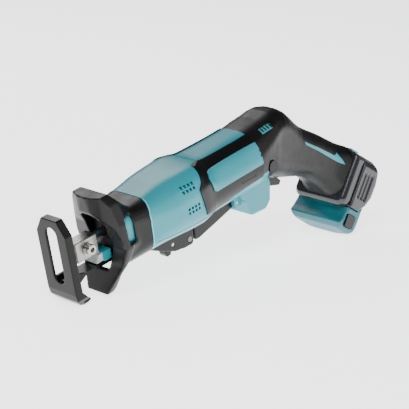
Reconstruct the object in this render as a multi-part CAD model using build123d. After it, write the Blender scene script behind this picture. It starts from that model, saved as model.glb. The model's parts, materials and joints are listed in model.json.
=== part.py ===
from build123d import *
import os
from math import atan2, cos, degrees, radians, sin

# Reciprocating saw, modelled along its stroke axis: +X runs from the shoe to the rear,
# +Z is up, the origin is where the stroke axis crosses the shoe's front face.
# At the end the whole tool is tipped nose down until it rests on the shoe and the battery.

# ---- driving dimensions, mm and degrees ----
STROKE = 13.0                # blade stroke
HALF = STROKE / 2
WALL = 2.6                   # housing shell thickness
SKIN = 2.0                   # rubber overmould thickness
GAP = 0.3                    # running clearance between moving bodies

SHOE_W, SHOE_TOP, SHOE_BOTTOM = 33.0, 34.0, -27.0
SHOE_TOP_W, SHOE_CHAMFER_H, SHOE_FLANGE = 17.5, 12.0, 7.0
SHEET = 2.4                  # shoe sheet thickness
SLOT_W, SLOT_TOP, SLOT_BOTTOM = 12.0, 27.0, -20.0
LIP_REACH, LIP_LOW = 16.0, -39.8

CLAMP_X0, CLAMP_X1, CLAMP_H = 14.7, 35.5, 16.6
CLAMP_Y0, CLAMP_Y1 = -8.0, 4.0
BOLT_X, BOLT_HEAD_R, BOLT_R, BOLT_HEAD_H = 25.6, 4.4, 2.6, 5.2
ROD_R = 5.5
CRANK_X, CRANK_R, CRANK_Z0, CRANK_Z1 = 108.0, 16.4, 5.6, 9.6
PIN_R, YOKE_TOP = 2.6, 1.5
MOTOR_Z, MOTOR_R, MOTOR_X0 = 1.4, 17.4, 139.0
SHAFT_R, PINION_R = 2.5, 3.9
BEARING_R, BEARING_L = 8.0, 5.0

TILT = 41.0                  # handle axis below the stroke axis
HANDLE_MID, HANDLE_HALF, HANDLE_W = 165.0, 20.0, 18.0
PACK_W = 31.0

# Body stations along X: x, top, bottom, half width, corner radius
BODY = [
    (50, 20, -24, 24.5, 10),
    (66, 19.5, -24.5, 25.2, 12),
    (78, 20, -24.8, 27, 15),
    (91, 22, -25, 29.5, 18.5),
    (104, 24, -25.5, 32, 21),
    (120, 25, -26, 32.4, 20),
    (134, 25.3, -26, 31.4, 18),
    (143, 25, -26, 29.8, 19.5),
    (152, 24.2, -26, 29, 22),
    (183, 25, -26.5, 28.5, 24),
    (204, 25.6, -27, 28.5, 24),
]
# Grip stations: x and z of the middle, tilt, half height, half width, corner radius
GRIP = [
    (204, -0.7, 0, 26.3, 28.5, 24),
    (222, 1.2, 9, 27, 25.5, 20),
    (238, 1, 25, 30, 21.5, 17),
    (260, -15.5, 38, 24, 18.5, 15.5),
]
SLOT_X, SLOT_Z = 179.5, 19.5  # first of the motor's air slots
# Outlines in side view, x and z
BOOT_EDGE = [(30, -60), (76, -60), (76, -20), (77, 10), (81, 21), (88, 27), (101, 30), (101, 60), (30, 60)]
BAND = [(136, 25), (131.5, 15), (127, 10.5), (132, -13.5), (150, -15.5), (212, -10), (212, 26)]
BADGE = [(143, 18.5), (141, 14), (144, 2.5), (147, 0.5), (203, 1), (208, 6), (208, 14), (204, 19)]
BELLY = [(182, -20), (189.4, -29), (192, -43), (197, -46), (210, -47), (217.5, -40), (220, -26), (216, -10)]
PADDLE = [(134.8, -26.6), (134.8, -42.6), (139, -43.2), (186.4, -33), (187.4, -30), (185, -26.7)]
GUARD = [(80, -26.4), (97, -35.5), (110, -41.5), (121, -43.6), (131.4, -43.8), (133.2, -26.4)]
TRIGGER = [(219.5, -17), (229, -17), (247, -37.5), (244.5, -41), (221, -33)]
TRIGGER_POCKET = [(218.9, -15.8), (229.6, -15.8), (250.5, -34), (247, -44), (219.5, -34)]
# Battery outlines in its own directions: h away from the hand, s toward the top rear
PACK_CASE = [(285.3, 137.2), (299, 137.2), (306, 144), (310.5, 153), (311, 166), (308.5, 176), (303, 190), (285.3, 190)]
# Plans of the battery's rear end and of its coloured front, y and s
PACK_NOSE = [(31, 145), (29.5, 125), (28.6, 119.5), (25, 115.6), (16, 113.4), (6, 112.7)]
PACK_END = [(31, 110), (31, 176.5), (29, 180.5), (23, 184.5), (11, 187.5)]
# Coloured strip let into the handle's side, h and s
INLAY = [(209, 171), (230, 172.6), (254, 173.4), (256, 176.8), (264, 173.5), (268.5, 170.5),
         (262, 169.6), (231, 170), (212, 169)]
# Screws that hold the housing halves: x, z, y of the head's seat
SCREWS = [(130, -19.4, 22), (201, -16, 20.5), (238, 15.5, 16.5), (308, -42, 14.5)]
PACK_FRONT = [(285.3, 137), (285.3, 134.4), (283.2, 127), (280.5, 121), (284.5, 116.5), (300, 112.8),
              (305.5, 117), (305.8, 143), (299, 137)]
TEAL_KEEL = [(213, -10), (216, -22), (229, -24), (262, -49), (254, -60), (200, -60), (200, -10)]



def along(h, s):
    """Point in side view at h along the handle axis and s across it."""
    t = radians(TILT)
    return h * cos(t) + s * sin(t), -h * sin(t) + s * cos(t)


# The standing tool touches the floor with the shoe's lip and the battery's front corner.
LOW_X, LOW_Z = along(*PACK_FRONT[5])
NOSE_DROP = degrees(atan2(LIP_LOW - LOW_Z, LOW_X - 9))


# ---- helpers ----
def place(x, z, tilt):
    """Plane across the tool at a point, its normal pointing rearward and down by the tilt."""
    t = radians(tilt)
    return Plane(origin=(x, 0, z), x_dir=(0, 1, 0), z_dir=(cos(t), 0, -sin(t)))


def ring(x, z, tilt, half_height, half_width, corner, grow=0.0):
    high, wide = half_height + grow, half_width + grow
    radius = max(0.8, min(corner + grow, min(high, wide) - 0.5))
    return place(x, z, tilt) * RectangleRounded(2 * wide, 2 * high, radius)


def smooth(stations, steps):
    """Stations with more between them, on a Catmull-Rom curve through the given ones."""
    ends = [stations[0]] + stations + [stations[-1]]
    dense = []
    for a, b, c, d in zip(ends, ends[1:], ends[2:], ends[3:]):
        for step in range(steps):
            t = step / steps
            dense.append(tuple(
                q + t * (r - p) / 2 + t * t * (p - 2.5 * q + 2 * r - s / 2)
                + t ** 3 * (1.5 * (q - r) + (s - p) / 2)
                for p, q, r, s in zip(a, b, c, d)))
    return dense + [stations[-1]]


def body(grow=0.0):
    rings = [ring(x, (t + b) / 2, 0, (t - b) / 2, w, r, grow) for x, t, b, w, r in smooth(BODY, 3)]
    return loft(rings, ruled=True)


def grip(grow=0.0):
    stations = list(GRIP)
    for h, half, wide, corner, mid in (
        (236, HANDLE_HALF, HANDLE_W, 14, HANDLE_MID),
        (260, HANDLE_HALF + 0.8, HANDLE_W + 1.5, 14, HANDLE_MID),
        (274, HANDLE_HALF + 3.5, HANDLE_W + 6, 15, HANDLE_MID - 1),
    ):
        stations.append((*along(h, mid), TILT, half, wide, corner))
    return loft([ring(*station, grow) for station in smooth(stations, 4)], ruled=True)


def side_prism(points, y0, y1):
    """Prism across the tool, from an outline in side view."""
    plane = Plane(origin=(0, y1, 0), x_dir=(1, 0, 0), z_dir=(0, -1, 0))
    return extrude(plane * make_face(Polyline(*points, close=True)), y1 - y0)


def front_prism(points, x0, x1):
    """Prism along the tool, from one half of an outline in front view, mirrored about Y = 0."""
    outline = points + [(-y, z) for y, z in reversed(points)]
    plane = Plane(origin=(x0, 0, 0), x_dir=(0, 1, 0), z_dir=(1, 0, 0))
    return extrude(plane * make_face(Polyline(*outline, close=True)), x1 - x0)


def box(x0, x1, y0, y1, z0, z1):
    size = (x1 - x0, y1 - y0, z1 - z0)
    return Pos((x0 + x1) / 2, (y0 + y1) / 2, (z0 + z1) / 2) * Box(*size)


def rod(p, q, radius):
    """Cylinder between two points."""
    p, q = Vector(*p), Vector(*q)
    solid = Cylinder(radius, (q - p).length, align=(Align.CENTER, Align.CENTER, Align.MIN))
    return Plane(origin=p, z_dir=q - p) * solid


def tube(p, q, outer, inner):
    return rod(p, q, outer) - rod(p, q, inner)


def pack_box(h0, h1, y0, y1, s0, s1, edge=0.0):
    """Box in the battery's own directions: h away from the hand, s toward the top rear."""
    x, z = along((h0 + h1) / 2, (s0 + s1) / 2)
    t = radians(TILT)
    block = Plane(origin=(x, (y0 + y1) / 2, z), x_dir=(0, 1, 0), z_dir=(cos(t), 0, -sin(t)))
    solid = Box(y1 - y0, s1 - s0, h1 - h0)
    if edge:
        solid = fillet(solid.edges().filter_by(Axis.Z), edge)
    return block * solid


def common(first, second):
    """What two shapes share, as one part."""
    shared = first & second
    return Part() + (list(shared) if isinstance(shared, (list, tuple)) else [shared])


NEAR = box(-50, 450, -90, 0, -200, 120)
FAR = box(-50, 450, 0, 90, -200, 120)
parts = {}


def halves(name, solid):
    parts[name + "_left"] = common(solid, NEAR)
    parts[name + "_right"] = common(solid, FAR)



def both_sides(solid):
    """A solid and its mirror image about the tool's middle plane."""
    return solid + mirror(solid, Plane.XZ)


# ---- shoe ----
def shoe_outline(inset=0.0):
    wide, top = SHOE_W / 2 - inset, SHOE_TOP - inset
    return [(SHOE_TOP_W / 2 - inset / 2, top), (wide, SHOE_TOP - SHOE_CHAMFER_H), (wide, SHOE_BOTTOM)]


def make_shoe():
    pan = front_prism(shoe_outline(), 0, SHOE_FLANGE) - front_prism(shoe_outline(SHEET), SHEET, 20)
    pan = fillet(pan.edges().filter_by(Axis.X), 1.0)
    slot = SlotOverall(SLOT_TOP - SLOT_BOTTOM, SLOT_W, rotation=90)
    plane = Plane(origin=(-1, 0, (SLOT_TOP + SLOT_BOTTOM) / 2), x_dir=(0, 1, 0), z_dir=(1, 0, 0))
    pan -= extrude(plane * slot, SHEET + 2)
    wide = SHOE_W / 2
    lip = side_prism([(0, SHOE_BOTTOM), (1, -33), (4.5, -37.6), (9, LIP_LOW), (13, LIP_LOW), (LIP_REACH, -38.4),
                      (LIP_REACH - 0.4, -36.1), (12.5, -37.2), (9.5, -37.2), (6, -35.4), (3.4, -32), (SHEET, SHOE_BOTTOM)],
                     -wide, wide)
    cheek = [(0, SHOE_BOTTOM), (SHOE_FLANGE, SHOE_BOTTOM), (LIP_REACH, -38.4), (9, LIP_LOW), (4.5, -37.6), (1, -33)]
    lip += both_sides(side_prism(cheek, wide - SHEET, wide))
    lip = common(lip, front_prism([(wide, SHOE_BOTTOM), (wide, -32), (wide - 5, LIP_LOW - 1)], -1, 30))
    return pan + lip


def make_shoe_arm():
    floor = box(SHEET, 80, -7, 7, -21, -18.6)
    webs = both_sides(side_prism([(SHEET, -26.5), (SHEET, -15.5), (9, -15.5), (20, -18.6), (20, -21), (10, -26.5)], 5, 7))
    holes = [rod((x, 0, -30), (x, 0, -10), 1.9) for x in (68, 76)]
    return floor + webs - holes[0] - holes[1]


def make_shoe_screws():
    return [rod((x, 0, -18.6), (x, 0, -16.6), 3.2) + rod((x, 0, -24), (x, 0, -18.6), 1.8) for x in (68, 76)]


# ---- blade slider and clamp ----
def make_slider():
    bar = rod((CLAMP_X1, 0, 0), (102, 0, 0), ROD_R)
    bar -= box(CRANK_X - 17.2, 103, -6, 6, YOKE_TOP, 6)
    yoke = box(100, 113.6, -12.5, 12.5, -4, YOKE_TOP)
    path = SlotOverall(2 * (HALF + PIN_R + 0.4), 2 * PIN_R + 0.4, rotation=90)
    slot = Pos(CRANK_X, 0, -1) * extrude(path, 12, both=True)
    return bar + yoke - slot


def make_clamp():
    block = box(CLAMP_X0, CLAMP_X1, CLAMP_Y0, CLAMP_Y1, -CLAMP_H / 2, CLAMP_H / 2)
    block = chamfer(block.edges().filter_by(Axis.X), 0.6)
    block -= box(CLAMP_X0 - 1, CLAMP_X1 - 4, -0.7, 0.7, -6.5, 6.5)
    return block - rod((BOLT_X, -20, 0), (BOLT_X, 3, 0), BOLT_R + 0.1)


def make_bolt():
    face = CLAMP_Y0 - GAP
    head = rod((BOLT_X, face - BOLT_HEAD_H, 0), (BOLT_X, face - 1.2, 0), BOLT_HEAD_R)
    head = chamfer(head.edges().group_by(Axis.Y)[0], 0.5)
    washer = rod((BOLT_X, face - 1.2, 0), (BOLT_X, face, 0), BOLT_HEAD_R + 0.8)
    socket = Plane(origin=(BOLT_X, face - BOLT_HEAD_H, 0), z_dir=(0, 1, 0)) * extrude(RegularPolygon(2.3, 6), 2.8)
    return head + washer + rod((BOLT_X, face, 0), (BOLT_X, 2.5, 0), BOLT_R) - socket


# ---- drive ----
def make_gear_housing():
    case = front_prism([(13, 18), (20, 11.5), (20, -14)], 72, 128)
    case = common(case, side_prism([(72, -14), (128, -14), (128, 18), (97, 18), (90, 16.5), (72, 13.5)], -20, 20))
    room = front_prism([(11.5, 15.5), (17.5, 10.2), (17.5, -11.5)], 74.5, 125.2)
    room = common(room, side_prism([(74, -11.5), (125.2, -11.5), (125.2, 15.5), (99, 15.5), (91, 14), (74, 11.2)], -18, 18))
    case -= room
    case += box(82, 90, -17.6, 17.6, -11.6, 5) + rod((60, 0, 0), (74.5, 0, 0), 9.5)
    case += rod((CRANK_X, 0, 11.5), (CRANK_X, 0, 18), 10) + rod((125.2, 0, MOTOR_Z), (131, 0, MOTOR_Z), 10.5)
    case -= rod((59, 0, 0), (91, 0, 0), 7.5)
    case -= rod((CRANK_X, 0, 11), (CRANK_X, 0, 16.5), BEARING_R)
    return case - rod((125, 0, MOTOR_Z), (132, 0, MOTOR_Z), BEARING_R)


def make_bushes():
    return [tube((x0, 0, 0), (x1, 0, 0), 7.5, ROD_R + 0.05) for x0, x1 in ((60.5, 73.5), (82.5, 89.5))]


def make_crank():
    disc = rod((CRANK_X, 0, CRANK_Z0), (CRANK_X, 0, CRANK_Z1), CRANK_R)
    teeth = [Rot(0, 0, i * 360 / 34) * Pos(CRANK_R - 2.2, 0, CRANK_Z0) * Box(4, 1.4, 1.0) for i in range(34)]
    disc -= Pos(CRANK_X, 0, 0) * (Part() + teeth)
    shaft = rod((CRANK_X, 0, CRANK_Z1), (CRANK_X, 0, 16.4), 4)
    pin = rod((CRANK_X, HALF, 1.9), (CRANK_X, HALF, CRANK_Z0), PIN_R)
    return disc + shaft + pin


def make_rotor():
    turn = rod((120.8, 0, MOTOR_Z), (195.4, 0, MOTOR_Z), SHAFT_R) + rod((149, 0, MOTOR_Z), (180, 0, MOTOR_Z), 12)
    return turn + rod((183, 0, MOTOR_Z), (188, 0, MOTOR_Z), 6)


def make_pinion():
    wheel = rod((120.8, 0, MOTOR_Z), (124.6, 0, MOTOR_Z), PINION_R)
    cut = [Rot(i * 36, 0, 0) * Pos(122, 0, PINION_R) * Box(6, 1.1, 1.4) for i in range(10)]
    return wheel - rod((120, 0, MOTOR_Z), (125, 0, MOTOR_Z), SHAFT_R) - Pos(0, 0, MOTOR_Z) * (Part() + cut)


def make_fan():
    hub = tube((132, 0, MOTOR_Z), (138, 0, MOTOR_Z), 6, SHAFT_R + 0.01) + tube((137, 0, MOTOR_Z), (138, 0, MOTOR_Z), 16.5, 5)
    blade = Pos(134.5, 0, 11) * Box(5, 1.2, 10.6)
    blades = [Rot(i * 40, 0, 0) * blade for i in range(9)]
    return hub + Pos(0, 0, MOTOR_Z) * (Part() + blades)


def make_motor_can():
    can = tube((MOTOR_X0, 0, MOTOR_Z), (190, 0, MOTOR_Z), MOTOR_R, MOTOR_R - 1.6)
    front = tube((MOTOR_X0, 0, MOTOR_Z), (MOTOR_X0 + 2, 0, MOTOR_Z), MOTOR_R, 6)
    return can + front


def make_magnets():
    ring_ = tube((145, 0, MOTOR_Z), (184, 0, MOTOR_Z), MOTOR_R - 1.6, 13.2)
    upper = common(ring_, box(142, 190, -40, 40, MOTOR_Z + 5, 60))
    lower = common(ring_, box(142, 190, -40, 40, -60, MOTOR_Z - 5))
    return [upper, lower]


def make_motor_cap():
    cap = rod((190, 0, MOTOR_Z), (197, 0, MOTOR_Z), MOTOR_R)
    return cap - rod((189, 0, MOTOR_Z), (195.5, 0, MOTOR_Z), 6.52)


def make_bearings():
    front = tube((126, 0, MOTOR_Z), (131, 0, MOTOR_Z), BEARING_R, SHAFT_R + 0.05)
    rear = tube((191, 0, MOTOR_Z), (195.3, 0, MOTOR_Z), 6.5, SHAFT_R + 0.05)
    crank = tube((CRANK_X, 0, 11.5), (CRANK_X, 0, 16.4), BEARING_R, 4.05)
    return [front, rear, crank]


# ---- front boot ----
FLANGE_RIM = [(15.5, 37.5), (21.5, 30.5), (26, 13), (27.8, -7), (23.2, -22), (11.5, -44)]
FUNNEL_RIM = [(15.5, 37.5), (21.5, 30.5), (26, 13), (27.8, -7), (23.2, -18), (14, -22.5)]
NECK_RIM = [(13, 19.8), (19, 17.5), (24, 9), (25.3, -7), (24, -17.5), (15, -24.4)]
MOUTH = [(4, 22.5), (9, 19.5), (11, 12), (11, -12), (9, -19), (7.6, -26.7)]
FLANGE_SIDE = [(35, 38), (35.4, 24), (43, 11), (47.3, -7), (44, -22), (33, -44), (33, -45),
               (39.5, -45), (43, -40), (45, -28), (50, -20), (55, -7), (55, 14), (52, 31), (48, 38)]
# Plan of the flange's front, x and y, from the middle outward
FLANGE_PLAN = [(34.8, 0), (35.6, 7), (38.5, 14), (42.5, 21), (47, 29)]


def funnel(inset, x0, x1):
    """Solid that narrows from the flange's outline to the neck's, inset for the hollow."""
    wires = []
    for x, outline in ((x0, FUNNEL_RIM), (x1, NECK_RIM)):
        points = [(y - inset, z - inset if z > 0 else z + inset) for y, z in outline]
        points += [(-y, z) for y, z in reversed(points)]
        plane = Plane(origin=(x, 0, 0), x_dir=(0, 1, 0), z_dir=(1, 0, 0))
        wires.append(plane * make_face(Polyline(*points, close=True)))
    return loft(wires, ruled=True)


def make_boot(skin, nose):
    flange = common(front_prism(FLANGE_RIM, 30, 62), side_prism(FLANGE_SIDE, -40, 40))
    bow = FLANGE_PLAN + [(20, 29), (20, -29)] + [(x, -y) for x, y in reversed(FLANGE_PLAN[1:])]
    flange -= extrude(Plane.XY.offset(-20) * make_face(Polyline(*bow, close=True)), 70)
    flange -= front_prism(MOUTH, 28, 60)
    cone = funnel(0, 48, 65) - funnel(3.2, 47.9, 65.1)
    windows = both_sides(box(52, 60.5, 20, 40, -4.5, 17))
    return flange + cone - nose + skin - windows


# ---- housing shells ----
def lever_lug():
    return both_sides(box(180, 188, 10.6, 14, -33, -24))


def make_belly(inset=0.0):
    plane = Plane(origin=(0, 19 - inset, 0), x_dir=(1, 0, 0), z_dir=(0, -1, 0))
    face = make_face(Polyline(*BELLY, close=True))
    if inset:
        face = offset(face, -inset)
    solid = extrude(plane * face, 2 * (19 - inset))
    return solid if inset else fillet(solid.edges().filter_by(Axis.Y, reverse=True).group_by(Axis.Z)[0], 3)


def vent(x, z, wide, high):
    return both_sides(box(x - wide / 2, x + wide / 2, 12, 40, z - high / 2, z + high / 2))


def vent_cuts():
    cuts = Part()
    for x0, z0 in ((112, 17.4), (112.9, -0.3)):
        for row in range(2):
            for col in range(4):
                cuts += vent(x0 + 3.7 * col, z0 - 3.4 * row, 2.3, 2.3)
    for slot in range(5):
        cuts += vent(SLOT_X + 4.6 * slot, SLOT_Z, 2.2, 4.5)
    return cuts


def screw_posts():
    posts = Part()
    for x, z, seat in SCREWS:
        posts += rod((x, -seat - 1, z), (x, seat + 1, z), 3.4)
    return posts


def screw_holes():
    holes = Part()
    for x, z, seat in SCREWS:
        holes += rod((x, seat, z), (x, 45, z), 3.1) + rod((x, 2 - seat, z), (x, seat + 1, z), 1.5)
    return holes


def make_housing_screws():
    screws = []
    for x, z, seat in SCREWS:
        head = rod((x, seat, z), (x, seat + 2.2, z), 2.9)
        head = fillet(head.edges().group_by(Axis.Y)[-1], 0.6)
        socket = Plane(origin=(x, seat + 2.2, z), z_dir=(0, -1, 0)) * extrude(RegularPolygon(1.4, 6), 1.3)
        screws.append(head + rod((x, 2.5 - seat, z), (x, seat, z), 1.45) - socket)
    return screws


# ---- lower controls ----
def world_up(x, z, rise):
    """Point a rise above another one once the tool stands on its shoe and battery."""
    return x + rise * sin(radians(NOSE_DROP)), 0, z + rise * cos(radians(NOSE_DROP))


def make_spring(x, z, length, outer):
    return tube((x, 0, z), world_up(x, z, length), outer, outer - 0.9)


def make_guard():
    guard = side_prism(GUARD, -11, 11)
    guard = chamfer(guard.edges().filter_by(Axis.Y).group_by(Axis.Z)[0], 1.5)
    slot = box(103.5, 114.5, -4.4, 4.4, -50, -27)
    screw_seat = rod((127.7, -20, -38.5), (127.7, -9.5, -38.5), 2.4)
    return guard - slot - screw_seat - rod((109, -12, -35), (109, 12, -35), 1.5)


def make_tab():
    tab = side_prism([(105.6, -32), (112, -32), (113, -38), (111.6, -46.4), (107.2, -47.4), (105.6, -44)], -4, 4)
    tab = chamfer(tab.edges().filter_by(Axis.Y).group_by(Axis.Z)[0], 0.6)
    return tab - rod((109, -12, -35), (109, 12, -35), 1.55)


def make_paddle():
    paddle = side_prism(PADDLE, -10, 10)
    paddle = fillet(paddle.edges().filter_by(Axis.Y).group_by(Axis.Z)[0], 1.5)
    pocket = side_prism([(138, -20), (138, -36), (152, -35), (176, -31), (176, -20)], -7.5, 7.5)
    return paddle - pocket - rod((183.5, -15, -29.8), (183.5, 15, -29.8), 1.3)


def make_trigger():
    trigger = side_prism(TRIGGER, -6.5, 6.5)
    pocket = rod((237, 0, -33.6), world_up(237, -33.6, 20), 3.3)
    return trigger - rod((222, -15, -20), (222, 15, -20), 1.3) - pocket


# ---- battery and its mount ----
def pack_prism(points, half):
    """Prism of an outline given in the battery's own directions."""
    return side_prism([along(h, s) for h, s in points], -half, half)


def pack_plan(half_outline):
    """Solid along the handle's direction, from one half of an outline seen along it."""
    outline = half_outline + [(-y, s) for y, s in reversed(half_outline)]
    x, z = along(270, 0)
    t = radians(TILT)
    plane = Plane(origin=(x, 0, z), x_dir=(0, 1, 0), z_dir=(cos(t), 0, -sin(t)))
    return extrude(plane * make_face(Polyline(*outline, close=True)), 50)


def make_foot():
    foot = pack_box(274.2, 285, -29, 29, 135, 189.5, 8)
    t = radians(TILT)
    foot = chamfer(foot.edges().group_by(Axis((0, 0, 0), (cos(t), 0, -sin(t))))[0], 3)
    channel = pack_box(278.2, 286, -14.4, 14.4, 130, 185)
    return common(foot, pack_plan(PACK_END)) - channel


def make_pack_case(cavity):
    case = common(pack_prism(PACK_CASE, PACK_W), pack_plan(PACK_END))
    rail = pack_box(278.6, 286, -14, 14, 137.4, 184)
    ribs = Part()
    for row in range(3):
        ribs += both_sides(pack_box(289 + 5 * row, 293 + 5 * row, PACK_W - 1.6, PACK_W + 1, 148, 172))
    return case + rail - cavity - ribs


def make_pack_front(cavity):
    front = common(pack_prism(PACK_FRONT, 29.5), pack_plan(PACK_NOSE))
    pocket = both_sides(pack_box(286.6, 299.4, 27.9, 32, 119.6, 131.4))
    return front - cavity - pocket


def make_cells():
    cells = []
    for y in (-18.6, 0, 18.6):
        p, q = along(295.4, 119.5), along(295.4, 179.2)
        cells.append(rod((p[0], y, p[1]), (q[0], y, q[1]), 9.0))
    return cells


# ---- the whole tool along its stroke axis ----
body_0, body_1, body_2 = body(), body(-SKIN), body(-SKIN - WALL)
grip_0, grip_1, grip_2 = grip(), grip(-SKIN), grip(-SKIN - WALL)
boot_zone = side_prism(BOOT_EDGE, -60, 60)
keel_zone = side_prism(TEAL_KEEL, -60, 60)
band_zone = both_sides(side_prism(BAND, 14, 40))
badge_zone = both_sides(side_prism(BADGE, 14, 40))
belly, belly_core = make_belly(), make_belly(WALL)

band_seat = common(band_zone, body(1.0)) - body_1
badge_seat = common(badge_zone, body(1.8)) - body(-0.6)
controls = box(134.3, 188.5, -11, 11, -27, -17) + side_prism(TRIGGER_POCKET, -7, 7)
controls += rod((218.5, -40, -8), (218.5, 40, -8), 5.4)
boot_skin = common(body_0 - body_1, boot_zone)
inlay_zone = both_sides(side_prism([along(h, s) for h, s in INLAY], 8, 40))
inlay = common(inlay_zone, grip(0.25)) - grip_1
posts = common(screw_posts(), body_1 + grip_1)

shell = body_0 + belly
shell = shell - [boot_skin, body_2, belly_core, band_seat]
shell += grip_1 + common(grip_0 - grip_1, keel_zone) - grip_2
shell += posts
shell = shell - controls - vent_cuts() + lever_lug() - rod((183.5, -15, -29.8), (183.5, 15, -29.8), 1.25)
shell -= box(48, 80.5, -7.3, 7.3, -30, -16)
shell -= rod((222, -9.2, -20), (222, 9.2, -20), 1.25)
halves("housing", shell - screw_holes())
halves("grip_cover", (grip_0 - grip_1) - keel_zone - belly - controls - screw_holes() - inlay_zone)
halves("handle_inlay", inlay)
halves("side_band", band_seat - badge_seat)
halves("side_badge", badge_seat)
arm_way = box(60, 80, -7.3, 7.3, -30, -16) + box(46, 61, -7.3, 7.3, -21.4, -16)
parts["front_boot"] = make_boot(boot_skin, body_1) - arm_way
seal = common(box(52, 53.5, -30, 30, -17.6, 30), body_2)
parts["dust_seal"] = seal - rod((50, 0, 0), (56, 0, 0), ROD_R + 0.4)
parts["housing_screws"] = make_housing_screws()
parts["shoe"] = make_shoe()
parts["shoe_arm"] = make_shoe_arm()
parts["shoe_screws"] = make_shoe_screws()
parts["blade_slider"] = make_slider()
parts["blade_clamp"] = make_clamp()
parts["clamp_bolt"] = make_bolt()
parts["gear_housing"] = make_gear_housing()
parts["slider_bushes"] = make_bushes()
parts["crank_gear"] = make_crank()
parts["rotor"] = make_rotor()
parts["pinion"] = make_pinion()
parts["cooling_fan"] = make_fan()
parts["motor_can"] = make_motor_can()
parts["motor_magnets"] = make_magnets()
parts["motor_cap"] = make_motor_cap()
parts["bearings"] = make_bearings()
parts["lever_guard"] = make_guard()
parts["lock_off_tab"] = make_tab()
parts["tab_pin"] = rod((109, -10.5, -35), (109, 10.5, -35), 1.5)
parts["guard_screw"] = [rod((127.7, -11.2, -38.5), (127.7, -9.5, -38.5), 2.4)]
parts["paddle"] = make_paddle()
parts["paddle_pin"] = rod((183.5, -13.8, -29.8), (183.5, 13.8, -29.8), 1.2)
parts["paddle_spring"] = make_spring(143, -33.9, 16.4, 4)
parts["trigger_spring"] = make_spring(237, -33.0, 17.6, 2.6)
parts["trigger"] = make_trigger()
parts["trigger_pin"] = rod((222, -9, -20), (222, 9, -20), 1.2)
parts["lock_off_button"] = rod((218.5, -27.5, -8), (218.5, 27.5, -8), 5.0)
parts["switch_body"] = box(226, 246, -8, 8, -15, 6)
parts["controller_board"] = pack_box(222, 256, -11, 11, 160, 163)
parts["battery_foot"] = make_foot()
parts["terminal_block"] = pack_box(264, 274, -12, 12, 152, 176)
cavity = pack_prism([(286.2, 119.2), (304.7, 119.2), (304.7, 179.5), (286.2, 179.5)], 27.7)
parts["battery_case"] = make_pack_case(cavity)
parts["battery_front"] = make_pack_front(cavity)
parts["battery_cells"] = make_cells()
parts["battery_tail"] = pack_box(287, 298, -9, 9, 187.5, 189.5)
for side, y0, y1 in (("left", -30.5, -29), ("right", 29, 30.5)):
    parts["battery_button_" + side] = pack_box(287, 299, y0, y1, 120, 131)
parts["led_lens"] = side_prism([(33, -17.6), (40, -17.6), (40, -11.4), (36.5, -11.4)], -6, 6)
parts["led_holder"] = box(40.1, 48, -7, 7, -18.2, -10.4)

# ---- tip the tool onto its shoe and battery, and centre it over the origin ----
tip = Location((0, 0, 0), (0, -NOSE_DROP, 0))
tipped = {}
for name, solid in parts.items():
    pieces = solid if isinstance(solid, list) else [solid]
    tipped[name] = [tip * piece for piece in pieces]
boxes = [piece.bounding_box() for pieces in tipped.values() for piece in pieces]
low_end, high_end = min(b.min.X for b in boxes), max(b.max.X for b in boxes)
rest = Location((-(low_end + high_end) / 2, 0, -min(b.min.Z for b in boxes)))
print("nose drop", NOSE_DROP, "shift", rest.position, "length", high_end - low_end)

os.makedirs("parts", exist_ok=True)
for name, pieces in tipped.items():
    moved = [rest * piece for piece in pieces]
    solids = [solid for piece in moved for solid in piece.solids()]
    export_step(solids[0] if len(solids) == 1 else Compound(solids), "parts/" + name + ".step")
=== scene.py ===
import bmesh
import bpy
import json
from math import atan2, cos, pi, radians, sin
from mathutils import Matrix, Vector
from mathutils.bvhtree import BVHTree


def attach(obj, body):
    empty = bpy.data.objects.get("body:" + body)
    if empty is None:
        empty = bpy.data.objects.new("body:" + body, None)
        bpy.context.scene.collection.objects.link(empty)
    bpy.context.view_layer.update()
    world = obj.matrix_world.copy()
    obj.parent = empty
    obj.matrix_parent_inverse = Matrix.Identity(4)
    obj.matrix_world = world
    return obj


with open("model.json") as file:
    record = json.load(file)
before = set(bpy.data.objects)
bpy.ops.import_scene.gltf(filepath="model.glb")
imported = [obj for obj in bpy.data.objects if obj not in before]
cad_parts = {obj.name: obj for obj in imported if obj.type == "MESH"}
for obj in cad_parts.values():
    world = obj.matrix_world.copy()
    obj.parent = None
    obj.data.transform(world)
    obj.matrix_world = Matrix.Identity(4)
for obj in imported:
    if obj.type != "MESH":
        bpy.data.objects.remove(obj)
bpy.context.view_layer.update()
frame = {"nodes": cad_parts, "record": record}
record = frame["record"]
nodes = frame["nodes"]

# ---- the tool's own frame ----
# X runs along the stroke and Z up; the origin is where the stroke axis crosses the shoe face.
joints = {joint["name"]: joint for joint in record["behaviour"]["joints"]}
stroke = Vector(joints["blade_stroke"]["axis"])
NOSE_DROP = atan2(stroke.z, stroke.x)
CLAMP_FRONT = 0.0147         # blade socket, behind the shoe face along the stroke
socket = Vector(next(m["pos_m"] for m in record["mounts"] if m["name"] == "blade_socket"))
ORIGIN = socket - CLAMP_FRONT * stroke
TOOL = Matrix.Translation(ORIGIN) @ Matrix.Rotation(-NOSE_DROP, 4, "Y")
MM = 0.001
RAY_START = 60 * MM          # rays at the housing start this far out from its middle plane
SINK = 0.5                   # mm of each pad that lies below its surface


def at(x, y, z):
    """World place of a point given in the tool's frame, in mm."""
    return TOOL @ (Vector((x, y, z)) * MM)


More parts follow.
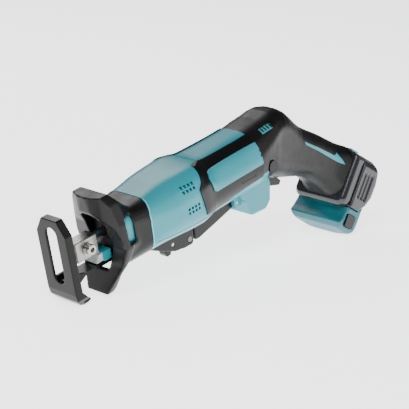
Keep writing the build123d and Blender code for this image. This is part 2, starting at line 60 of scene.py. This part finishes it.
# ---- materials ----
class Nodes:
    """A material's node tree, with short calls for what the finishes share."""

    def __init__(self, name):
        self.material = bpy.data.materials.new(name)
        self.material.use_nodes = True
        self.tree = self.material.node_tree
        self.shader = self.tree.nodes["Principled BSDF"]
        self.place = self.tree.nodes.new("ShaderNodeTexCoord").outputs["Object"]

    def link(self, source, target):
        self.tree.links.new(source, target)

    def mapped(self, stretch=(1, 1, 1), turn=0.0):
        """Object coordinates, stretched and turned about Y."""
        mapping = self.tree.nodes.new("ShaderNodeMapping")
        mapping.inputs["Scale"].default_value = stretch
        mapping.inputs["Rotation"].default_value = (0, turn, 0)
        self.link(self.place, mapping.inputs["Vector"])
        return mapping.outputs[0]

    def noise(self, scale, detail=3, stretch=(1, 1, 1), turn=0.0, rough=0.5):
        noise = self.tree.nodes.new("ShaderNodeTexNoise")
        noise.inputs["Scale"].default_value = scale
        noise.inputs["Detail"].default_value = detail
        noise.inputs["Roughness"].default_value = rough
        self.link(self.mapped(stretch, turn), noise.inputs["Vector"])
        return noise.outputs["Fac"]

    def cells(self, scale):
        cells = self.tree.nodes.new("ShaderNodeTexVoronoi")
        cells.inputs["Scale"].default_value = scale
        self.link(self.mapped(), cells.inputs["Vector"])
        return cells.outputs["Distance"]

    def spread(self, source, low, high, start=0.3, end=0.7):
        node = self.tree.nodes.new("ShaderNodeMapRange")
        limits = {"From Min": start, "From Max": end, "To Min": low, "To Max": high}
        for key, value in limits.items():
            node.inputs[key].default_value = value
        self.link(source, node.inputs["Value"])
        return node.outputs["Result"]

    def ramp(self, source, stops):
        node = self.tree.nodes.new("ShaderNodeValToRGB")
        elements = node.color_ramp.elements
        while len(elements) < len(stops):
            elements.new(0.5)
        for element, (position, colour) in zip(elements, stops):
            element.position = position
            element.color = (*colour, 1)
        self.link(source, node.inputs["Fac"])
        return node.outputs["Color"]

    def two_shades(self, source, colour, darkest, palest):
        """Base colour that varies between two shades of one colour."""
        stops = [(0.3, shade(colour, darkest)), (0.7, shade(colour, palest))]
        self.link(self.ramp(source, stops), self.shader.inputs["Base Color"])

    def bump(self, source, distance, strength=1.0, below=None):
        node = self.tree.nodes.new("ShaderNodeBump")
        node.inputs["Distance"].default_value = distance
        node.inputs["Strength"].default_value = strength
        self.link(source, node.inputs["Height"])
        if below:
            self.link(below, node.inputs["Normal"])
        return node.outputs["Normal"]

    def set(self, **values):
        for key, value in values.items():
            self.shader.inputs[key.replace("_", " ")].default_value = value
        return self


def shade(colour, factor):
    return tuple(channel * factor for channel in colour)


def moulded(name, colour, rough, grain=2600, depth=0.00002, vary=0.1, **values):
    """Injection-moulded plastic: faint mottling, spark-eroded grain and uneven gloss."""
    m = Nodes(name)
    m.two_shades(m.noise(28, 4), colour, 1 - vary, 1 + vary)
    smear = m.noise(60, 5, rough=0.6)
    m.link(m.spread(smear, rough * 0.86, rough * 1.18), m.shader.inputs["Roughness"])
    broad = m.bump(m.noise(90, 2), 0.00004, 0.6)
    m.link(m.bump(m.noise(grain, 2), depth, 1.0, broad), m.shader.inputs["Normal"])
    return m.set(**values).material


def rubbery(name, colour, rough):
    """Soft overmould: leathery pebbling, dull with a soft sheen."""
    m = Nodes(name)
    m.two_shades(m.noise(35, 5), colour, 0.85, 1.2)
    m.link(m.spread(m.noise(120, 4), rough * 0.85, rough * 1.2), m.shader.inputs["Roughness"])
    broad = m.bump(m.noise(110, 2), 0.00005, 0.6)
    m.link(m.bump(m.cells(1500), 0.00003, 0.8, broad), m.shader.inputs["Normal"])
    return m.set(Specular_IOR_Level=0.3).material


def painted(name, colour):
    """Glossy black coat on sheet steel, with orange peel and a few worn flecks."""
    m = Nodes(name)
    fleck = (0.02, 0.02, 0.02)
    stops = [(0.3, shade(colour, 0.8)), (0.74, shade(colour, 1.2)), (0.8, fleck)]
    m.link(m.ramp(m.noise(420, 3), stops), m.shader.inputs["Base Color"])
    m.link(m.spread(m.noise(70, 5), 0.14, 0.3), m.shader.inputs["Roughness"])
    m.link(m.bump(m.noise(520, 2), 0.00006, 0.7), m.shader.inputs["Normal"])
    return m.set(Specular_IOR_Level=0.12, Coat_Weight=0.12, Coat_Roughness=0.08).material


def metal(name, colour, rough, stretch, scale=900, depth=0.00001, turn=0.0):
    """Machined or ground metal, with lines along one direction."""
    m = Nodes(name)
    lines = m.noise(scale, 4, stretch, turn)
    m.two_shades(m.noise(60, 5), colour, 0.82, 1.08)
    m.link(m.spread(lines, rough * 0.7, rough * 1.35), m.shader.inputs["Roughness"])
    m.link(m.bump(lines, depth, 0.8), m.shader.inputs["Normal"])
    return m.set(Metallic=1.0).material


def cast(name, colour):
    """Cast or sintered metal: an even, rough grain."""
    m = Nodes(name)
    m.two_shades(m.noise(160, 6), colour, 0.8, 1.1)
    m.link(m.spread(m.noise(300, 4), 0.38, 0.6), m.shader.inputs["Roughness"])
    m.link(m.bump(m.noise(700, 3), 0.0001, 0.7), m.shader.inputs["Normal"])
    return m.set(Metallic=1.0).material


def frosted(name):
    """Clear plastic with a pebbled face."""
    m = Nodes(name)
    stops = [(0.3, (0.62, 0.66, 0.68)), (0.7, (0.8, 0.84, 0.86))]
    m.link(m.ramp(m.noise(200, 3), stops), m.shader.inputs["Base Color"])
    m.link(m.spread(m.noise(150, 3), 0.12, 0.25), m.shader.inputs["Roughness"])
    m.link(m.bump(m.cells(700), 0.00008, 0.7), m.shader.inputs["Normal"])
    return m.set(Transmission_Weight=0.35, IOR=1.49).material


TEAL = (0.012, 0.270, 0.325)
M = {
    "teal": moulded("teal_plastic", TEAL, 0.34, vary=0.05,
                    Coat_Weight=0.15, Coat_Roughness=0.25),
    "teal_dark": moulded("battery_teal", (0.006, 0.125, 0.155), 0.36, vary=0.06),
    # painted highlight: pale teal for the lit edge of the shell by the boot
    "rim": moulded("pale_rim", (0.20, 0.58, 0.62), 0.3, vary=0.04),
    "rubber": rubbery("soft_rubber", (0.0035, 0.0035, 0.0038), 0.36),
    "black": moulded("black_plastic", (0.0035, 0.0035, 0.004), 0.3, vary=0.12,
                     Specular_IOR_Level=0.3),
    # painted shade: near-black matte for the shade inside the air slots; also the dust seal's
    # own black
    "pit": moulded("dark_recess", (0.0025, 0.0025, 0.0028), 0.7, vary=0.1),
    "grey": moulded("grey_plastic", (0.016, 0.016, 0.020), 0.26, vary=0.1,
                    Coat_Weight=0.2, Coat_Roughness=0.2),
    "paint": painted("black_coat", (0.003, 0.003, 0.0033)),
    "steel": metal("ground_steel", (0.34, 0.33, 0.315), 0.32, (0.08, 1, 1), 1400, 0.000012,
                   NOSE_DROP),
    "bright": metal("turned_steel", (0.42, 0.41, 0.395), 0.22, (1, 0.06, 1), 1800, 0.00001),
    "dark_steel": metal("dark_steel", (0.17, 0.165, 0.16), 0.34, (1, 0.1, 1), 1200),
    "alloy": cast("cast_alloy", (0.5, 0.5, 0.51)),
    "gear": metal("gear_steel", (0.42, 0.41, 0.4), 0.3, (1, 1, 0.1), 1500),
    "bronze": cast("sintered_bronze", (0.5, 0.3, 0.12)),
    "board": moulded("circuit_board", (0.004, 0.03, 0.012), 0.3, grain=900, depth=0.00006,
                     vary=0.4),
    "wrap": moulded("cell_sleeve", (0.03, 0.08, 0.2), 0.25, vary=0.1),
    "lens": frosted("frosted_lens"),
}

# The nodes that aren't plain black plastic.
FINISHED_AS = {
    "teal": ("housing_left", "housing_right", "side_badge_left", "side_badge_right",
             "handle_inlay_left", "handle_inlay_right", "battery_tail", "led_holder"),
    "teal_dark": ("battery_front",),
    "rubber": ("front_boot", "grip_cover_left", "grip_cover_right"),
    "grey": ("battery_case", "battery_foot"),
    "paint": ("shoe", "shoe_arm"),
    "steel": ("blade_clamp", "blade_slider"),
    "bright": ("clamp_bolt", "paddle_pin", "tab_pin", "trigger_pin", "paddle_spring",
               "trigger_spring", "bearings"),
    "dark_steel": ("shoe_screws", "guard_screw", "housing_screws", "motor_magnets"),
    "alloy": ("motor_can", "gear_housing"),
    "gear": ("crank_gear", "pinion", "rotor"),
    "bronze": ("slider_bushes",),
    "board": ("controller_board",),
    "wrap": ("battery_cells",),
    "pit": ("dust_seal",),
    "lens": ("led_lens",),
}
FINISH = {name: kind for kind, names in FINISHED_AS.items() for name in names}
for name, node in nodes.items():
    material = M[FINISH.get(name, "black")]
    for place in node.material_slots:
        place.material = material


# ---- rounded edges on the moulded parts and the shoe ----
def soften(name, voxel, passes):
    """Rounds the edges: a fine even skin over the CAD shape, then eased."""
    node = nodes[name]
    skin = node.modifiers.new("skin", "REMESH")
    skin.mode = "VOXEL"
    skin.voxel_size = voxel * MM
    skin.use_smooth_shade = True
    ease = node.modifiers.new("ease", "SMOOTH")
    ease.factor = 0.5
    ease.iterations = passes


SOFTENED = {                 # voxel in mm, and easing passes
    "front_boot": (0.8, 7), "battery_front": (0.8, 8), "battery_case": (0.8, 8),
    "battery_foot": (0.8, 8), "shoe": (0.45, 5), "lever_guard": (0.6, 4),
    "paddle": (0.6, 5), "trigger": (0.6, 5), "lock_off_tab": (0.4, 4),
}
for name, (voxel, passes) in SOFTENED.items():
    soften(name, voxel, passes)


# ---- detail pieces that follow the CAD surfaces ----
def surface(*names):
    """A search tree over CAD nodes as they are at rest."""
    vertices, faces = [], []
    for name in names:
        mesh = nodes[name].data
        start = len(vertices)
        vertices += [v.co.copy() for v in mesh.vertices]
        faces += [[start + i for i in face.vertices] for face in mesh.polygons]
    return BVHTree.FromPolygons(vertices, faces)


def hit(tree, point, direction):
    """Where a ray from outside meets the surface, and the surface's normal there."""
    start = point + direction * RAY_START
    place, normal, _, _ = tree.ray_cast(start, -direction)
    if place is None:
        return None, None
    return place, (normal if normal.dot(direction) > 0 else -normal)


def finished(name, mesh, material):
    """A smooth-shaded piece that rides on the tool's body."""
    piece = bpy.data.objects.new(name, mesh)
    bpy.context.collection.objects.link(piece)
    mesh.polygons.foreach_set("use_smooth", [True] * len(mesh.polygons))
    mesh.materials.append(M[material])
    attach(piece, "tool")
    return piece


def patch(name, outlines, tree, material, rise, side, cell=1.2):
    """Thin pads that hug a surface, either moulded detail or painted slot shade: side-view
    outlines in mm, raised by rise.
    """
    mesh = bmesh.new()
    for outline in outlines:
        flat = [mesh.verts.new((x, 0, z)) for x, z in outline]
        face = mesh.faces.new(flat)
        made = bmesh.ops.triangulate(mesh, faces=[face])
        span = max((flat[i].co - flat[i - 1].co).length for i in range(len(flat)))
        cuts = max(1, int(span / cell))
        edges = {edge for tri in made["faces"] for edge in tri.edges}
        bmesh.ops.subdivide_edges(mesh, edges=list(edges), cuts=cuts, use_grid_fill=True)
    bmesh.ops.remove_doubles(mesh, verts=mesh.verts, dist=1e-4)
    direction = Vector((0, side, 0))
    for vert in mesh.verts:
        place, normal = hit(tree, at(vert.co.x, 0, vert.co.z), direction)
        if place is None:
            place, normal = at(vert.co.x, 0, vert.co.z), direction
        vert.co = place + normal * (rise - SINK) / 2 * MM
    bmesh.ops.recalc_face_normals(mesh, faces=mesh.faces)
    data = bpy.data.meshes.new(name)
    mesh.to_mesh(data)
    mesh.free()
    piece = finished(name, data, material)
    thick = piece.modifiers.new("thick", "SOLIDIFY")
    thick.thickness = (rise + SINK) * MM
    thick.offset = 0
    thick.use_even_offset = False


def bead(name, points, material, radius):
    """A fine raised line, through world points."""
    curve = bpy.data.curves.new(name, "CURVE")
    curve.dimensions = "3D"
    curve.bevel_depth = radius * MM
    curve.bevel_resolution = 2
    curve.use_fill_caps = True
    spline = curve.splines.new("POLY")
    spline.points.add(len(points) - 1)
    for corner, point in zip(spline.points, points):
        corner.co = (*point, 1)
    line = bpy.data.objects.new(name, curve)
    bpy.context.collection.objects.link(line)
    bpy.context.view_layer.update()
    mesh = bpy.data.meshes.new_from_object(line)
    bpy.data.objects.remove(line)
    mesh.materials.clear()
    finished(name, mesh, material)


def dense(points, step):
    """Side-view points with more between them."""
    out = []
    for (x0, z0), (x1, z1) in zip(points, points[1:]):
        wide, high = x1 - x0, z1 - z0
        count = max(1, int((wide ** 2 + high ** 2) ** 0.5 / step))
        out += [(x0 + wide * i / count, z0 + high * i / count) for i in range(count)]
    return out + [points[-1]]


def traced(tree, points, side, rise=0.0, step=1.0):
    """World points where a side-view line lies on a surface."""
    out = []
    for x, z in dense(points, step):
        place, normal = hit(tree, at(x, 0, z), Vector((0, side, 0)))
        if place is not None:
            out.append(place + normal * rise * MM)
    return out


def rounded(cx, cz, wide, high, turn=0.0, radius=None, steps=5):
    """Outline of a rounded bar in side view."""
    radius = min(wide, high) / 2 if radius is None else radius
    out = []
    for quarter, (sx, sz) in enumerate(((1, 1), (-1, 1), (-1, -1), (1, -1))):
        for i in range(steps + 1):
            angle = (quarter + i / steps) * pi / 2
            x = sx * (wide / 2 - radius) + radius * cos(angle)
            z = sz * (high / 2 - radius) + radius * sin(angle)
            out.append((cx + x * cos(turn) - z * sin(turn), cz + x * sin(turn) + z * cos(turn)))
    return out


def row(count, x, z, pitch, wide, high, lean, climb=0.0):
    """A row of leaning slots, from the first one's centre."""
    return [rounded(x + pitch * i, z + climb * i, wide, high, lean) for i in range(count)]


# side-view places in mm, the same on both sides
BOOT_BAR = [rounded(66, 11.5, 20, 4.2, -0.06)]
SHELL_EDGE = [(76.4, -19), (77.2, 10), (81.2, 20.6)]
BELLY_STEP = [(80, -15.5), (100, -16.6), (125, -17), (150, -16.8), (166, -16.4), (172, -18.5),
              (177, -23)]
BARREL_SLOTS = row(5, 184.9, 21.2, 3.7, 1.9, 3.4, 0.25)
BAND_SLOTS = row(6, 178.5, -6, 3.1, 1.6, 1.9, 0.2)
BADGE_VENTS = [rounded(204.4, 12.4, 2.4, 2.2, 0.3, 0.4), rounded(203.9, 8.6, 2.4, 2.2, 0.3, 0.4)]
HUMP_VENT = [rounded(223.3, 22.6, 13, 3.6, 0.06, 0.6)]
HUMP_BARS = row(4, 219, 22.8, 3.3, 1.5, 3.0, 0.3, climb=0.1)

boot = surface("front_boot")
for side, word in ((-1, "left"), (1, "right")):
    shell = surface("housing_" + word)
    cover = surface("grip_cover_" + word)
    band = surface("side_band_" + word, "side_badge_" + word, "housing_" + word)
    # moulded bar on the boot's shoulder
    patch("boot_bar_" + word, BOOT_BAR, boot, "rubber", 0.8, side)
    # painted highlight: a pale teal line on the edge of the shell where it meets the boot, for
    # the light that rounded edge catches
    edge = traced(shell, SHELL_EDGE, side, -0.1)
    bead("boot_rim_" + word, edge, "rim", 0.5)
    # painted shade: a dark teal line along the step at the lower edge of the housing, for the
    # shade in its groove
    bead("seam_step_" + word, traced(shell, BELLY_STEP, side), "teal_dark", 0.3)
    # air slots: motor barrel, band's lower edge, badge's rear end, hump; the near-black pads and
    # bars are painted shade for the insides of the slots, and the hump's teal pad is its vent
    # colour
    for name, outlines, base, rise in (("barrel_slot_shade_", BARREL_SLOTS, shell, 0.12),
                                       ("band_slot_shade_", BAND_SLOTS, band, 0.12),
                                       ("badge_vent_shade_", BADGE_VENTS, band, 0.15)):
        patch(name + word, outlines, base, "pit", rise, side, cell=0.8)
    patch("hump_vent_" + word, HUMP_VENT, cover, "teal", 0.1, side, cell=1.0)
    patch("hump_bars_" + word, HUMP_BARS, cover, "pit", 0.3, side, cell=0.8)

# ---- stage ----
PHOTO_WIDTH = 409            # px
FOCAL_PX = 1500              # focal length at that width, from the photograph's perspective
SENSOR = 36                  # mm
CAMERA_DISTANCE = 1.235      # m
CAMERA_AZIMUTH = radians(-46.66)
CAMERA_ELEVATION = radians(15.3)
CAMERA_ROLL = radians(1.9)
CAMERA_AIM = at(159.6, 0, -23.7)
FLOOR_SIZE, FLOOR_GREY, FLOOR_GLOW = 8, 0.9, 2.4
WORLD_STRENGTH = 0.1
LIT = Vector((0, 0, 0.05))   # where the lamps point


def make_camera():
    camera = bpy.data.objects.new("camera", bpy.data.cameras.new("camera"))
    bpy.context.collection.objects.link(camera)
    level = cos(CAMERA_ELEVATION)
    back = Vector((sin(CAMERA_AZIMUTH) * level, -cos(CAMERA_AZIMUTH) * level,
                   sin(CAMERA_ELEVATION)))
    turn = back.to_track_quat("Z", "Y").to_matrix().to_4x4()
    turn = turn @ Matrix.Rotation(CAMERA_ROLL, 4, "Z")
    camera.matrix_world = Matrix.Translation(CAMERA_AIM + back * CAMERA_DISTANCE) @ turn
    camera.data.lens = SENSOR * FOCAL_PX / PHOTO_WIDTH
    camera.data.sensor_width = SENSOR
    bpy.context.scene.camera = camera


def make_floor():
    bpy.ops.mesh.primitive_plane_add(size=FLOOR_SIZE, location=(0, 0, 0))
    floor = bpy.context.object
    floor.name = "floor"
    material = bpy.data.materials.new("floor")
    material.use_nodes = True
    shader = material.node_tree.nodes["Principled BSDF"]
    shader.inputs["Base Color"].default_value = (FLOOR_GREY, FLOOR_GREY, FLOOR_GREY, 1)
    shader.inputs["Roughness"].default_value = 0.9
    shader.inputs["Emission Color"].default_value = (1, 1, 1, 1)
    shader.inputs["Emission Strength"].default_value = FLOOR_GLOW
    floor.data.materials.append(material)


def area_light(name, place, size, power):
    """A square lamp that faces the saw's middle."""
    data = bpy.data.lights.new(name, "AREA")
    data.size = size
    data.energy = power
    light = bpy.data.objects.new(name, data)
    bpy.context.collection.objects.link(light)
    light.location = place
    light.rotation_euler = (LIT - Vector(place)).to_track_quat("-Z", "Y").to_euler()


make_camera()
make_floor()
area_light("key", (-0.9, -0.6, 1.3), 0.9, 20)
area_light("fill", (0.6, -1.4, 0.7), 1.2, 7)
area_light("rim", (0.3, 1.2, 1.2), 1.0, 12)
world = bpy.data.worlds.new("world")
world.use_nodes = True
background = world.node_tree.nodes["Background"]
background.inputs["Color"].default_value = (1, 1, 1, 1)
background.inputs["Strength"].default_value = WORLD_STRENGTH
bpy.context.scene.world = world
